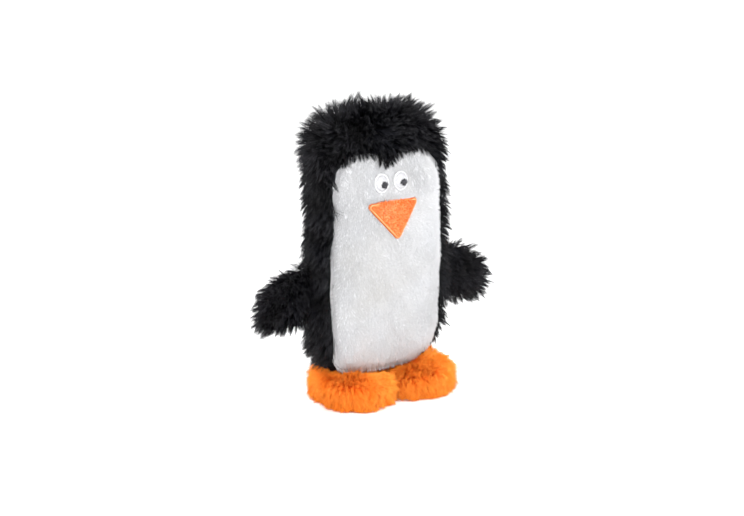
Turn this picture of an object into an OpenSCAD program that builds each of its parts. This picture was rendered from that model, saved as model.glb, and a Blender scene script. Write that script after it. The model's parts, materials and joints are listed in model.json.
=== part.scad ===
// A stuffed toy penguin that stands on two padded feet. +Z is up, the face looks along -Y and the
// origin is on the floor under the middle of the toy. Each cloth piece is a solid as thick as its
// backing and packed pile, sewn edge to edge to the next one, and the stuffing fills what is left.

/* [Body] */
// Width of the black cloth at mid depth, without its pile
body_w = 89; // [72:1:108]
// Height of the cloth from the base panel to the crown of the head
body_h = 176; // [140:1:214]
// Depth of the body from the front seam to the middle plane
front_depth = 17; // [13:0.5:22]
// Depth of the body from the middle plane to the back
back_depth = 22; // [17:0.5:28]
// Corner radius of the crown, seen from the front
crown_r = 24; // [16:1:32]
// Corner radius at the bottom of the body, seen from the front
hip_r = 31; // [22:1:34]

/* [White front panel] */
// Width of the panel between its side seams
panel_w = 84; // [68:1:88]
// Drop from the crown of the head to the panel's top seam
forehead = 22; // [18:1:30]
// How far the stuffed panel bulges in front of its seam
panel_crown = 7; // [3:0.5:12]
// How far the black widow's peak dips into the panel
peak_drop = 8; // [3:0.5:12]
// Half width of the widow's peak
peak_w = 7; // [5:0.5:10]

/* [Cloth] */
// Thickness of the long black pile, packed, with its backing
black_pile = 5; // [3:0.25:7]
// Thickness of the short white plush
white_pile = 3; // [2:0.25:5]
// Thickness of the orange pile on the feet
orange_pile = 4; // [2.5:0.25:5]
// Thickness of the cloth where a seam pinches it
seam_pile = 2; // [1.5:0.25:2.5]
// Play between the stuffing and the cloth around it
stuffing_gap = 0.6; // [0.4:0.05:1]
// How much further the stuffing stays off the bottom corners, where three seams meet
corner_slack = 1.4; // [1:0.1:3]
// Play between two pieces that move against each other
moving_gap = 0.5; // [0.3:0.1:1.5]

/* [Flippers] */
// Length from the hinge seam to the tip
flipper_l = 39.5; // [31:0.5:50]
// Height at the root seam
flipper_h = 46; // [36:1:56]
// Height above the floor of the middle of the root
flipper_z = 79; // [70:1:95]
// How far the middle of the tip hangs below the middle of the root
flipper_drop = 11; // [0:1:18]
// Thickness at the thickest place
flipper_t = 17; // [13:0.5:22]
// Thickness of the flat hinge seam at the root
flipper_root_t = 7; // [5:0.5:8]

/* [Feet] */
// Width of one foot
foot_w = 48.8; // [38:0.2:60]
// Length of one foot from toes to heel
foot_l = 60; // [50:1:73]
// Height of one foot under the body
foot_h = 17.5; // [15:0.5:22]
// How far its outer side rises under the hip, at most
foot_rise = 5; // [0:0.5:7]
// How far the toes stand out in front of the white panel
toe_reach = 15; // [8:0.5:20]
// Gap between the two feet
foot_split = 1.2; // [0.6:0.1:3]
// Thickness of the sole cloth
sole_t = 3; // [2:0.25:4]

/* [Face] */
// Width of the beak along its top edge
beak_w = 44; // [34:0.5:52]
// Length of the beak from its top edge to its tip
beak_l = 29.5; // [23:0.5:35]
// Drop from the panel's top seam to the top edge of the beak
beak_drop = 33; // [28:0.5:38]
// How far the tip of the beak sits to the toy's left
beak_lean = 4.5; // [-6:0.5:6]
// Corner radius of the beak
beak_r = 2.6; // [2:0.1:4]
// Thickness of the beak's cloth
beak_t = 2.2; // [1.5:0.1:3]
// Width of the satin stitch around the beak
stitch_w = 2.4; // [1.6:0.1:3]
// Height of the satin stitch
stitch_t = 1; // [0.6:0.1:1.6]
// Width of one embroidered eye
eye_w = 12; // [9:0.25:13]
// Height of one embroidered eye
eye_h = 14; // [11:0.25:15]
// Spacing of the two eyes
eye_pitch = 15.2; // [13.5:0.1:18]
// Drop from the panel's top seam to the middle of the eyes
eye_drop = 20; // [16:0.5:24]
// Thickness of the eye embroidery
eye_t = 1; // [0.6:0.1:1.6]
// Diameter of a pupil
pupil_d = 4.2; // [3:0.1:5]
// Thickness of a pupil
pupil_t = 1; // [0.6:0.1:1.6]
// How far each pupil looks to the toy's left
pupil_shift = 1.9; // [-2.2:0.1:2.2]
// How far each pupil sits below the middle of its eye
pupil_fall = 1.2; // [-2:0.1:2]
// Play between an applied piece and the pile that it lies on
applique_gap = 0.4; // [0.3:0.05:0.8]

/* [Care label] */
// Width of the folded label
label_w = 15; // [10:1:20]
// Length of the label that shows below its seam
label_l = 12; // [8:1:12]
// Thickness of the folded label
label_t = 1.2; // [0.8:0.1:2]
// Distance of the label from the middle of the back, to the toy's right
label_x = 22; // [14:1:26]
// Lean of the label away from the body
label_tilt = 14; // [5:1:25]

/* [Hidden] */

black = "#17181a";
white = "#f1f2f6";
orange = "#f47f1f";
light_orange = "#ff9745";
peach = "#ffb070";
fibre = "#e9e7e0";

// Heights above the floor
body_bottom = foot_h + moving_gap + black_pile;
body_top = body_bottom + body_h;
panel_bottom = body_bottom;
panel_top = body_top - forehead;
panel_mid = (panel_top + panel_bottom) / 2;
panel_half_h = (panel_top - panel_bottom) / 2;
body_mid = (body_top + body_bottom) / 2;

// Depths, from the body's middle plane; mid_y puts the origin under the middle of the whole toy
panel_front = front_depth + panel_crown + white_pile;
toe_front = panel_front + toe_reach;
mid_y = (toe_front - back_depth - black_pile) / 2;

// Shape exponents: how boxy each surface is
panel_corner_power = 5;
panel_dome_power = 2.4;
back_power = 0.5;
foot_plan_power = 2.6;

// Divisions of the outline from the top centre down one side to the bottom centre
top_steps = 5;
corner_steps = 6;
side_steps = 6;
bottom_steps = 2;
half = top_steps + 2 * corner_steps + side_steps + bottom_steps;
whole = 2 * half;
// The base panel starts this far round the outline, and its back seam runs at this stretch
base_start = top_steps + corner_steps + side_steps + 2;
base_ramp = 3;
base_reach = 1.4;
// The tip of a flipper is left this share of its length short of a sharp edge
tip_station = 0.995;

// Stretches over the body: 0 is the middle of the white panel, 1 its seam, 2 mid depth, 3 the back
first_ring = 0.04;
last_ring = 2.96;
front_rings = [first_ring, 0.3, 0.55, 0.75, 0.88, 0.95, 1];
side_rings = [1.15, 1.35, 1.65, 2];
back_rings = [2.2, 2.4, 2.6, 2.8, last_ring];
shell_rings = concat([1], side_rings, back_rings, [3]);
probe = 0.02;

function unit(v) = v / max(norm(v), 1e-9);
function dome(u, p) = pow(max(0, 1 - pow(min(1, abs(u)), p)), 1 / p);
function ease(u) = let (c = min(1, max(0, u))) c * c * (3 - 2 * c);
function flip(p) = [-p[0], p[1], p[2]];
function reversed(list) = [for (k = [len(list) - 1:-1:0]) list[k]];
function arc(c, r, a) = [c[0] + r * cos(a), c[1] + r * sin(a)];

// One point of a rounded rectangle in X and Z, k steps from the top centre down the +X side
function outline(k, w, z0, z1, r0, r1) =
    let (a = k - top_steps, b = a - corner_steps, c = b - side_steps, d = c - corner_steps)
    let (hw = w / 2, turn = 90 / corner_steps)
    a < 0 ? [(hw - r1) * k / top_steps, z1]
    : b < 0 ? arc([hw - r1, z1 - r1], r1, 90 - turn * a)
    : c < 0 ? [hw, z1 - r1 + (z0 + r0 - z1 + r1) * b / side_steps]
    : d < 0 ? arc([hw - r0, z0 + r0], r0, -turn * c)
    : [(hw - r0) * (1 - d / bottom_steps), z0];

function peak(p) = p[1] < panel_mid ? 0 : peak_drop * exp(-pow(p[0] / peak_w, 2));
function panel_seam(k) =
    let (p = outline(k, panel_w, panel_bottom, panel_top, hip_r - 2, crown_r - 2))
    [p[0], p[1] - peak(p)];
function widest(k) = outline(k, body_w, body_bottom, body_top, hip_r, crown_r);

// Depth of the white panel's cloth at one place, and of the top of its pile
function panel_y(x, z) =
    let (u = abs(2 * x / panel_w), v = abs((z - panel_mid) / panel_half_h))
    let (edge = pow(pow(u, panel_corner_power) + pow(v, panel_corner_power), 1 / panel_corner_power))
    mid_y - front_depth - panel_crown * dome(edge, panel_dome_power);
function pile_y(x, z) = panel_y(x, z) - white_pile;

// The cloth's own surface at stretch s, k steps round the outline
function body_near(s, k) =
    let (seam = panel_seam(k), wide = widest(k), middle = [0, panel_mid])
    s <= 1 ?
        let (p = middle + (seam - middle) * s)
        [p[0], panel_y(p[0], p[1]), p[1]]
    : s <= 2 ?
        let (a = 90 * (s - 1), p = seam + (wide - seam) * sin(a))
        [p[0], mid_y + (panel_y(seam[0], seam[1]) - mid_y) * cos(a), p[1]]
    :
        let (a = min(90, 90 * (s - 2)), axis = [0, body_mid])
        let (p = axis + (wide - axis) * pow(cos(a), back_power))
        [p[0], mid_y + back_depth * pow(sin(a), back_power), p[1]];
function body_point(s, k) =
    k < 0 ? flip(body_near(s, -k))
    : k > whole ? body_near(s, k - whole)
    : k > half ? flip(body_near(s, whole - k))
    : body_near(s, k);
function body_normal(s, k) =
    s >= 3 ? [0, 1, 0]
    : s <= first_ring ? [0, -1, 0]
    : unit(cross(body_point(s, k + 1) - body_point(s, k - 1),
        body_point(s + probe, k) - body_point(s - probe, k)));
function pile_at(s) =
    s < 1 ? seam_pile + (white_pile - seam_pile) * ease((1 - s) * 8)
    : seam_pile + (black_pile - seam_pile) * ease((s - 1) * 4);
function body_out(s, k, lift) = body_point(s, k) + body_normal(s, k) * lift;

// Where the seam between the base panel and the black halves runs
function base_seam(k) = 1 + base_reach * ease((min(k, whole - k) - base_start) / base_ramp);

function tri(a, b, c) = [a, b, c];
function quad(a, b, c, d) = [tri(a, b, c), tri(a, c, d)];
// A cell of four points cut along its shorter diagonal, so that cells that meet are cut alike
function cell(p, a, b, c, d) =
    norm(p[a] - p[c]) < norm(p[b] - p[d]) + 1e-6 ? quad(a, b, c, d) : quad(b, c, d, a);
function flat_list(lists) = [for (list = lists) each list];
function middle(points) = [for (k = [0:len(points)]) 1] * concat(points, [0 * points[0]]) / len(points);

// A closed solid through a stack of loops with the same number of points. Its two ends are closed
// by fans about their middles. Where a loop goes out along one side of a cloth and back along the
// other, they are closed by strips, and where the stack itself is a ring they meet.
module loft(loops, ends = "fan") {
    m = len(loops[0]);
    n = len(loops);
    last = (n - 1) * m;
    spans = ends == "ring" ? n : n - 1;
    points = concat(flat_list(loops), ends == "fan" ? [middle(loops[0]), middle(loops[n - 1])] : []);
    sides = flat_list([for (r = [0:spans - 1]) flat_list([for (k = [0:m - 1])
        let (a = r * m, b = ((r + 1) % n) * m, k2 = (k + 1) % m)
        cell(points, a + k, a + k2, b + k2, b + k)])]);
    fans = flat_list([for (k = [0:m - 1]) let (k2 = (k + 1) % m)
        [tri(n * m, k2, k), tri(n * m + 1, last + k, last + k2)]]);
    strips = flat_list([for (k = [0:m / 2 - 2])
        let (a = [k, k + 1, m - 2 - k, m - 1 - k], b = [last, last, last, last] + a)
        k < m / 4 ? concat(quad(a[3], a[2], a[1], a[0]), quad(b[1], b[2], b[3], b[0]))
        : concat(quad(a[0], a[3], a[2], a[1]), quad(b[0], b[1], b[2], b[3]))]);
    caps = ends == "ring" ? [] : ends == "fan" ? fans : strips;
    faces = [for (f = concat(sides, caps)) let (a = points[f[0]], b = points[f[1]], c = points[f[2]])
        if (a != b && b != c && c != a) f];
    polyhedron(points = points, faces = faces, convexity = 6);
}

module front_panel() {
    outer = [for (s = front_rings) [for (k = [0:whole - 1]) body_out(s, k, pile_at(s))]];
    inner = [for (s = front_rings) [for (k = [0:whole - 1]) body_point(s, k)]];
    color(white) loft(concat(inner, reversed(outer)));
}

module body_half() {
    rows = [for (k = [0:half])
        let (stretch = [for (s = shell_rings) max(s, base_seam(k))])
        concat([for (s = stretch) body_out(s, k, pile_at(s))],
            reversed([for (s = stretch) body_point(s, k)]))];
    color(black) loft(rows, "strip");
}

module body_side_left() {
    body_half();
}

module body_side_right() {
    mirror([1, 0, 0]) body_half();
}

module base_panel() {
    rows = [for (k = [base_start:whole - base_start])
        let (stretch = [for (s = shell_rings) min(s, base_seam(k))])
        concat([for (s = stretch) body_out(s, k, pile_at(s))],
            reversed([for (s = stretch) body_point(s, k)]))];
    color(black) loft(rows, "strip");
}

function seams_meet(k) = max(0, 1 - pow((min(k, whole - k) - base_start) / base_ramp - 0.5, 2));
module body_stuffing() {
    stretch = concat(front_rings, side_rings, back_rings);
    loops = [for (s = stretch) [for (k = [0:whole - 1])
        body_out(s, k, -stuffing_gap - corner_slack * ease(s) * seams_meet(k))]];
    color(fibre) loft(reversed(loops));
}

// A piece applied to the face: loops in X and Z from its middle to its edge, lying lift above the
// pile and thick[k] thick at loop k
module applied(loops, lift, thick) {
    front = [for (k = [0:len(loops) - 1]) [for (p = loops[k])
        [p[0], pile_y(p[0], p[1]) - lift - thick[k], p[1]]]];
    back = [for (loop = loops) [for (p = loop) [p[0], pile_y(p[0], p[1]) - lift, p[1]]]];
    loft(concat(front, reversed(back)));
}

// The beak's outline: a triangle with round corners, drawn in by d all round
beak_top = panel_top - beak_drop;
beak_corners = [[-beak_w / 2, beak_top], [beak_lean, beak_top - beak_l], [beak_w / 2, beak_top]];
beak_arc_steps = 4;
beak_side_steps = 3;
beak_rings = [8.6, 6, 3.5, 1.6, 0.6, 0];
function drawn_in(k, d) =
    let (b = beak_corners[k], u = unit(beak_corners[(k + 2) % 3] - b))
    let (v = unit(beak_corners[(k + 1) % 3] - b), half_turn = acos(u * v) / 2)
    b + unit(u + v) * d / sin(half_turn);
function corner_arc(k, d) =
    let (r = max(0.5, beak_r - d), b = drawn_in(k, d), u = unit(drawn_in((k + 2) % 3, d) - b))
    let (v = unit(drawn_in((k + 1) % 3, d) - b), half_turn = acos(u * v) / 2)
    let (c = b + unit(u + v) * r / sin(half_turn), reach = r / tan(half_turn))
    [for (j = [0:beak_arc_steps])
        c + r * unit((b + u * reach - c) * (beak_arc_steps - j) + (b + v * reach - c) * j)];
function beak_loop(d) = flat_list([for (k = [0:2])
    let (here = corner_arc(k, d), next = corner_arc((k + 1) % 3, d)[0], end = here[beak_arc_steps])
    concat(here, [for (j = [1:beak_side_steps]) end + (next - end) * j / (beak_side_steps + 1)])]);
function beak_puff(d) = beak_t * (0.8 + 0.2 * min(1, d / 2));

module beak() {
    color(light_orange)
        applied([for (d = beak_rings) beak_loop(d)], applique_gap, [for (d = beak_rings) beak_puff(d)]);
}

module beak_stitching() {
    lift = applique_gap + beak_t + applique_gap / 2 + stitch_t / 2;
    loops = [for (a = [315:-45:0]) [for (p = beak_loop(stitch_w / 2 * (1 - cos(a)) + 0.1))
        [p[0], pile_y(p[0], p[1]) - lift - stitch_t / 2 * sin(a), p[1]]]];
    color(peach) loft(loops, "ring");
}

eye_z = panel_top - eye_drop;
disc_rings = [0.12, 0.5, 0.8, 0.94, 1];
disc_sides = 24;
function oval(x, z, w, h) = [for (k = [0:disc_sides - 1])
    [x + w / 2 * cos(360 * k / disc_sides), z + h / 2 * sin(360 * k / disc_sides)]];
module disc(x, z, w, h, lift, t) {
    applied([for (s = disc_rings) oval(x, z, w * s, h * s)], lift,
        [for (s = disc_rings) t * (0.35 + 0.65 * dome(s, 3))]);
}

module eye_white(side) {
    color(white) disc(side * eye_pitch / 2, eye_z, eye_w, eye_h, applique_gap, eye_t);
}

module pupil(side) {
    color(black) disc(side * eye_pitch / 2 + pupil_shift, eye_z - pupil_fall, pupil_d, pupil_d,
        2 * applique_gap + eye_t, pupil_t);
}

module eye_white_right() {
    eye_white(-1);
}

module eye_white_left() {
    eye_white(1);
}

module pupil_right() {
    pupil(-1);
}

module pupil_left() {
    pupil(1);
}

// The label hangs from the seam between the base panel and the back, folded into a loop
label_top = body_point(1 + base_reach, half) + body_normal(1 + base_reach, half) * black_pile;
module care_label() {
    color("white")
        translate([-label_x - label_w / 2, label_top[1] + applique_gap + label_t, label_top[2]])
            rotate([label_tilt, 0, 0]) rotate([0, 90, 0]) linear_extrude(label_w) union() {
                translate([label_t / 2, -label_t / 2]) square([label_l - label_t, label_t]);
                translate([label_l - label_t / 2, 0]) circle(d = label_t, $fn = 24);
            }
}

// A flipper lies in the XZ plane. Station d is the distance from its hinge, negative towards the
// body, where it ends in a half round about the hinge, so that it clears the body as it turns.
root_r = flipper_root_t / 2;
hinge_x = body_w / 2 + black_pile + moving_gap + root_r;
flipper_stations = concat([for (a = [75, 50, 25]) -root_r * sin(a)],
    [for (j = [0:8]) flipper_l * (1 - pow(1 - j / 8, 1.5)) * tip_station]);
flipper_sides = 8;
function flipper_mid(d) = flipper_z - flipper_drop * pow(max(0, d) / flipper_l, 1.3);
function flipper_half_h(d) = (flipper_h / 2 - 4 * max(0, d) / flipper_l) * dome(max(0, d) / flipper_l, 3.2);
function flipper_half_t(d) =
    d < 0 ? sqrt(root_r * root_r - d * d)
    : (root_r + (flipper_t / 2 - root_r) * ease(d / flipper_l * 2.4)) * dome(d / flipper_l, 3.2);
function flipper_fill_h(d) = max(0.3, flipper_half_h(d) - seam_pile);
function flipper_fill_t(d, lift) = d <= 0 ? 0 : max(0, flipper_half_t(d) - black_pile + 1 - lift);

// One edge of a section across the flipper at station d, from its bottom seam to its top seam
function flipper_edge(d, half_h, half_t) = [for (k = [0:flipper_sides])
    let (a = -90 + 180 * k / flipper_sides)
    [hinge_x + d, mid_y - half_t * cos(a), flipper_mid(d) + half_h * sin(a)]];

module flipper_panel() {
    rows = [for (d = flipper_stations) concat(
        flipper_edge(d, flipper_half_h(d), flipper_half_t(d)),
        reversed(flipper_edge(d, flipper_fill_h(d), flipper_fill_t(d, 0))))];
    color(black) loft(rows, "strip");
}

module flipper_stuffing() {
    filled = [for (d = flipper_stations) if (flipper_fill_t(d, stuffing_gap) > 0.4) d];
    color(fibre) loft([for (d = filled)
        let (t = flipper_fill_t(d, stuffing_gap), h = flipper_fill_h(d) - stuffing_gap)
        [for (k = [0:2 * flipper_sides - 1]) let (a = 180 * k / flipper_sides)
            [hinge_x + d, mid_y - t * cos(a), flipper_mid(d) + h * sin(a)]]]);
}

module behind() {
    translate([0, 2 * mid_y, 0]) mirror([0, 1, 0]) children();
}

module to_right() {
    mirror([1, 0, 0]) children();
}

module flipper_left_front() {
    flipper_panel();
}

module flipper_left_back() {
    behind() flipper_panel();
}

module flipper_left_stuffing() {
    flipper_stuffing();
}

module flipper_right_front() {
    to_right() flipper_left_front();
}

module flipper_right_back() {
    to_right() flipper_left_back();
}

module flipper_right_stuffing() {
    to_right() flipper_left_stuffing();
}

// A foot is a flat pad with a half round edge, on a sole that is drawn in a little
foot_x = (foot_split + foot_w) / 2;
foot_y = mid_y - toe_front + foot_l / 2;
pad_r = (foot_h - sole_t) / 2;
pad_mid = sole_t + pad_r;
pad_sides = 40;
pad_shares = [0.1, 0.55];
edge_turns = [90, 60, 30, 0, -30, -60];
sole_inset = pad_r * (1 - cos(edge_turns[len(edge_turns) - 1]));
// The foot's top follows the underside of the hip up to its own rise, and never closes the gap
function hip_lift(x) =
    let (out = min(body_w / 2 - 1, abs(x)) - body_w / 2 + hip_r, r = hip_r + black_pile)
    out <= 0 ? 0 : r - sqrt(r * r - out * out);
function rise(x) = foot_rise > 0 ? foot_rise * (1 - exp(-hip_lift(x) / foot_rise)) : 0;
function plan(inset, share, z) = [for (k = [0:pad_sides - 1])
    let (a = 360 * k / pad_sides, c = cos(a), s = sin(a), p = 2 / foot_plan_power)
    let (x = foot_x + (foot_w / 2 - inset) * share * sign(c) * pow(abs(c), p))
    let (y = foot_y + (foot_l / 2 - inset) * share * sign(s) * pow(abs(s), p))
    [x, y, z + rise(x) * max(0, z - sole_t) / (foot_h - sole_t)]];
function pad_outside(a) = plan(pad_r * (1 - cos(a)), 1, pad_mid + pad_r * sin(a));
function pad_inside(a, lift) =
    let (r = pad_r - orange_pile - lift)
    a < 0 ? plan(orange_pile + lift, 1, pad_mid + (pad_mid - sole_t - lift) * a / 60)
    : plan(pad_r - r * cos(a), 1, pad_mid + r * sin(a));

module foot_upper() {
    outer = concat([for (share = pad_shares) plan(pad_r, share, foot_h)],
        [for (a = edge_turns) pad_outside(a)],
        [plan(sole_inset, 1, sole_t)]);
    inner = concat([for (share = pad_shares) plan(pad_r, share, foot_h - orange_pile)],
        [for (a = edge_turns) pad_inside(a, 0)]);
    color(orange) loft(concat(outer, reversed(inner)));
}

module foot_sole() {
    color(orange) loft([plan(sole_inset, 1, sole_t), plan(sole_inset, 1, 0)]);
}

module foot_stuffing() {
    top = foot_h - orange_pile - stuffing_gap;
    loops = concat([for (share = pad_shares) plan(pad_r, share, top)],
        [for (a = edge_turns) pad_inside(a, stuffing_gap)]);
    color(fibre) loft(loops);
}

module foot_left_upper() {
    foot_upper();
}

module foot_left_sole() {
    foot_sole();
}

module foot_left_stuffing() {
    foot_stuffing();
}

module foot_right_upper() {
    to_right() foot_upper();
}

module foot_right_sole() {
    to_right() foot_sole();
}

module foot_right_stuffing() {
    to_right() foot_stuffing();
}

front_panel();
body_side_right();
body_side_left();
base_panel();
body_stuffing();
beak();
beak_stitching();
eye_white_right();
eye_white_left();
pupil_right();
pupil_left();
care_label();
flipper_right_front();
flipper_right_back();
flipper_right_stuffing();
flipper_left_front();
flipper_left_back();
flipper_left_stuffing();
foot_right_upper();
foot_right_sole();
foot_right_stuffing();
foot_left_upper();
foot_left_sole();
foot_left_stuffing();
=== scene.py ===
"""Looks of the stuffed toy penguin: sewn cloth puffed by simulation, a strand pile on every panel,
stitched eyes and beak, fibrefill inside. Lengths here are in millimetres until a mesh is made."""

import json
import math

import bpy
import numpy as np
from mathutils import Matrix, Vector, kdtree


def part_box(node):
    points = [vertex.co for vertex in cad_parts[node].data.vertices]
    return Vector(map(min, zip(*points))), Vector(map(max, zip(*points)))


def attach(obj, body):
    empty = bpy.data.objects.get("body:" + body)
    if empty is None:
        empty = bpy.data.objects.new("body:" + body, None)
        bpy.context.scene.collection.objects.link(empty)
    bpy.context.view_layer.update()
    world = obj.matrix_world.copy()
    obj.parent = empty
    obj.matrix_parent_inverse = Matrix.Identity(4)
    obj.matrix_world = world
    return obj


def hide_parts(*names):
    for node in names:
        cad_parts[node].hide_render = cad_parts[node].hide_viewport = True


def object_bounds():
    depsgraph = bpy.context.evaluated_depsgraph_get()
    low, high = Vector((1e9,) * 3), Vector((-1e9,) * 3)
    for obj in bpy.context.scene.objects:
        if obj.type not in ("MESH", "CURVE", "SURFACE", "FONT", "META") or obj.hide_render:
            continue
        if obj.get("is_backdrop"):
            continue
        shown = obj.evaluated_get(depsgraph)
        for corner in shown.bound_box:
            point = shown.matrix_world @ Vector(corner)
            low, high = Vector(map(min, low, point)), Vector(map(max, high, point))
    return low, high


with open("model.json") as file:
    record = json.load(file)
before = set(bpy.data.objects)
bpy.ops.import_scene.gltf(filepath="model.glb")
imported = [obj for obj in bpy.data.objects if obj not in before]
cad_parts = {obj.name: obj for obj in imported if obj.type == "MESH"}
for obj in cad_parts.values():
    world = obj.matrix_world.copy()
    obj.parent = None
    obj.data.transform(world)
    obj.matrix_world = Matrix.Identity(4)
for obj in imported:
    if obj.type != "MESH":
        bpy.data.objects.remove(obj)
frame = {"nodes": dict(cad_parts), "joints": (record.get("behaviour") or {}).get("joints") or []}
CAD_LOW, CAD_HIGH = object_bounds()
MM = 0.001


# ---- measures taken from the frame
def box_mm(node):
    low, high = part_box(node)
    return np.array(low) / MM, np.array(high) / MM


def node_points(node):
    return np.array([v.co for v in frame["nodes"][node].data.vertices], float).reshape(-1, 3) / MM


HINGE_X, MID_Y, FLIPPER_Z = next(np.array(j["pos_m"], float) / MM for j in frame["joints"]
                                 if j["name"] == "flipper_left_flap")
FILL_PLAY = 0.6                       # play between stuffing and cloth
fill_low, fill_high = box_mm("body_stuffing")
HALF_W = fill_high[0] + FILL_PLAY
BOTTOM, TOP = fill_low[2] - FILL_PLAY, fill_high[2] + FILL_PLAY
FRONT, BACK = fill_low[1] - FILL_PLAY, fill_high[1] + FILL_PLAY
_, panel_high = box_mm("front_panel")
SEAM_Y = panel_high[1]
SIDE_ALLOWANCE, TOP_ALLOWANCE = 1.8, 1.2   # how far the panel stands outside its seam line
PANEL_HALF = panel_high[0] - SIDE_ALLOWANCE
PANEL_TOP = panel_high[2] - TOP_ALLOWANCE
CROWN = SEAM_Y - FRONT                # how far the panel bulges
CROWN_R, HIP_R = 24.0, 31.0           # corner radii, and the widow's peak, as in the CAD
PEAK_DROP, PEAK_W = 8.0, 7.0
SETTLED_R = 9.0                       # the bottom corner on the toy's right
PANEL_MID = (PANEL_TOP + BOTTOM) / 2
BODY_MID = (TOP + BOTTOM) / 2


# ---- small maths
def unit(v):
    return v / np.maximum(np.linalg.norm(v, axis=-1, keepdims=True), 1e-9)


def dome(u, power):
    return np.maximum(1 - np.clip(u, 0, 1) ** power, 0) ** (1 / power)


def ease(t):
    t = np.clip(t, 0, 1)
    return t * t * (3 - 2 * t)


def waves(p, size, seed, count=9):
    """A smooth field, about -1 to 1, that changes over `size` millimetres."""
    rng = np.random.default_rng(seed)
    way = unit(rng.normal(size=(count, 3))) / (size * rng.uniform(0.6, 1.7, count))[:, None]
    return np.sin(p @ way.T * 2 * math.pi + rng.uniform(0, 2 * math.pi, count)).sum(1) / math.sqrt(count)


def swirl(p, size, seed):
    """A smooth field of vectors."""
    return np.stack([waves(p, size, seed + k) for k in range(3)], 1)


def tangent(v, normal):
    return v - (v * normal).sum(-1, keepdims=True) * normal


def round_turn(count):
    return np.linspace(0, 2 * math.pi, count, endpoint=False)


def from_angles(azimuth, elevation):
    """The direction from the toy to something seen at an azimuth and elevation in degrees."""
    a, e = math.radians(azimuth), math.radians(elevation)
    return Vector((math.sin(a) * math.cos(e), -math.cos(a) * math.cos(e), math.sin(e)))


# ---- meshes and closed forms
def placed(name, data):
    o = bpy.data.objects.new(name, data)
    bpy.context.scene.collection.objects.link(o)
    return o


def mesh_object(name, points, faces):
    mesh = bpy.data.meshes.new(name)
    mesh.from_pydata([tuple(p) for p in np.asarray(points) * MM], [], [tuple(f) for f in faces])
    mesh.polygons.foreach_set("use_smooth", [True] * len(mesh.polygons))
    mesh.update()
    return placed(name, mesh)


class Form:
    """A closed surface of rings between two poles. Faces remember their ring and column."""

    def __init__(self, rings, first, last):
        count, around = len(rings), len(rings[0])
        self.points = np.concatenate([np.concatenate(rings), [first], [last]])
        columns = [(j, (j + 1) % around) for j in range(around)]
        faces = [(i * around + j, i * around + k, (i + 1) * around + k, (i + 1) * around + j)
                 for i in range(count - 1) for j, k in columns]
        pole, end = count * around, (count - 1) * around
        for j, k in columns:
            faces += [(pole, k, j), (pole + 1, end + j, end + k)]
        self.ring_of = np.array([i for i in range(count - 1) for _ in columns] + [-1, count - 1] * around)
        self.column_of = np.array(list(range(around)) * (count - 1) + [j for j, _ in columns for _ in (0, 1)])
        self.faces = faces
        a, b, c = (self.points[self.triangles()[:, k]] for k in range(3))
        if (a * np.cross(b, c)).sum() < 0:
            self.faces = [f[::-1] for f in faces]

    def triangles(self, keep=None):
        faces = self.faces if keep is None else [self.faces[i] for i in np.flatnonzero(keep)]
        return np.array([(f[0], f[k], f[k + 1]) for f in faces for k in range(1, len(f) - 1)])

    def crosses(self):
        """Each face's corners, and a vector along its normal, twice as long as its area."""
        f = np.array([(*f, f[2]) if len(f) == 3 else f for f in self.faces])
        p = self.points
        return f, np.cross(p[f[:, 2]] - p[f[:, 0]], p[f[:, 3]] - p[f[:, 1]])

    def normals(self):
        f, c = self.crosses()
        n = np.zeros_like(self.points)
        for k in range(4):
            np.add.at(n, f[:, k], c)
        return unit(n)

    def area(self, keep):
        return np.linalg.norm(self.crosses()[1][keep], axis=1).sum() / 2

    def middles(self, points):
        return np.array([points[list(f)].mean(0) for f in self.faces])


def carried(points, base, moved, reach=4.0):
    """What a simulated surface moved, carried over to other points near it."""
    out = np.empty_like(points)
    for i in range(0, len(points), 400):
        d2 = ((points[i:i + 400, None] - base[None]) ** 2).sum(2)
        w = np.exp(-(d2 - d2.min(1, keepdims=True)) / (2 * reach * reach))
        out[i:i + 400] = (w @ moved) / w.sum(1, keepdims=True)
    return out


PUFF_PRESSURE, PUFF_FRAMES = 4.0, 20


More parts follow.
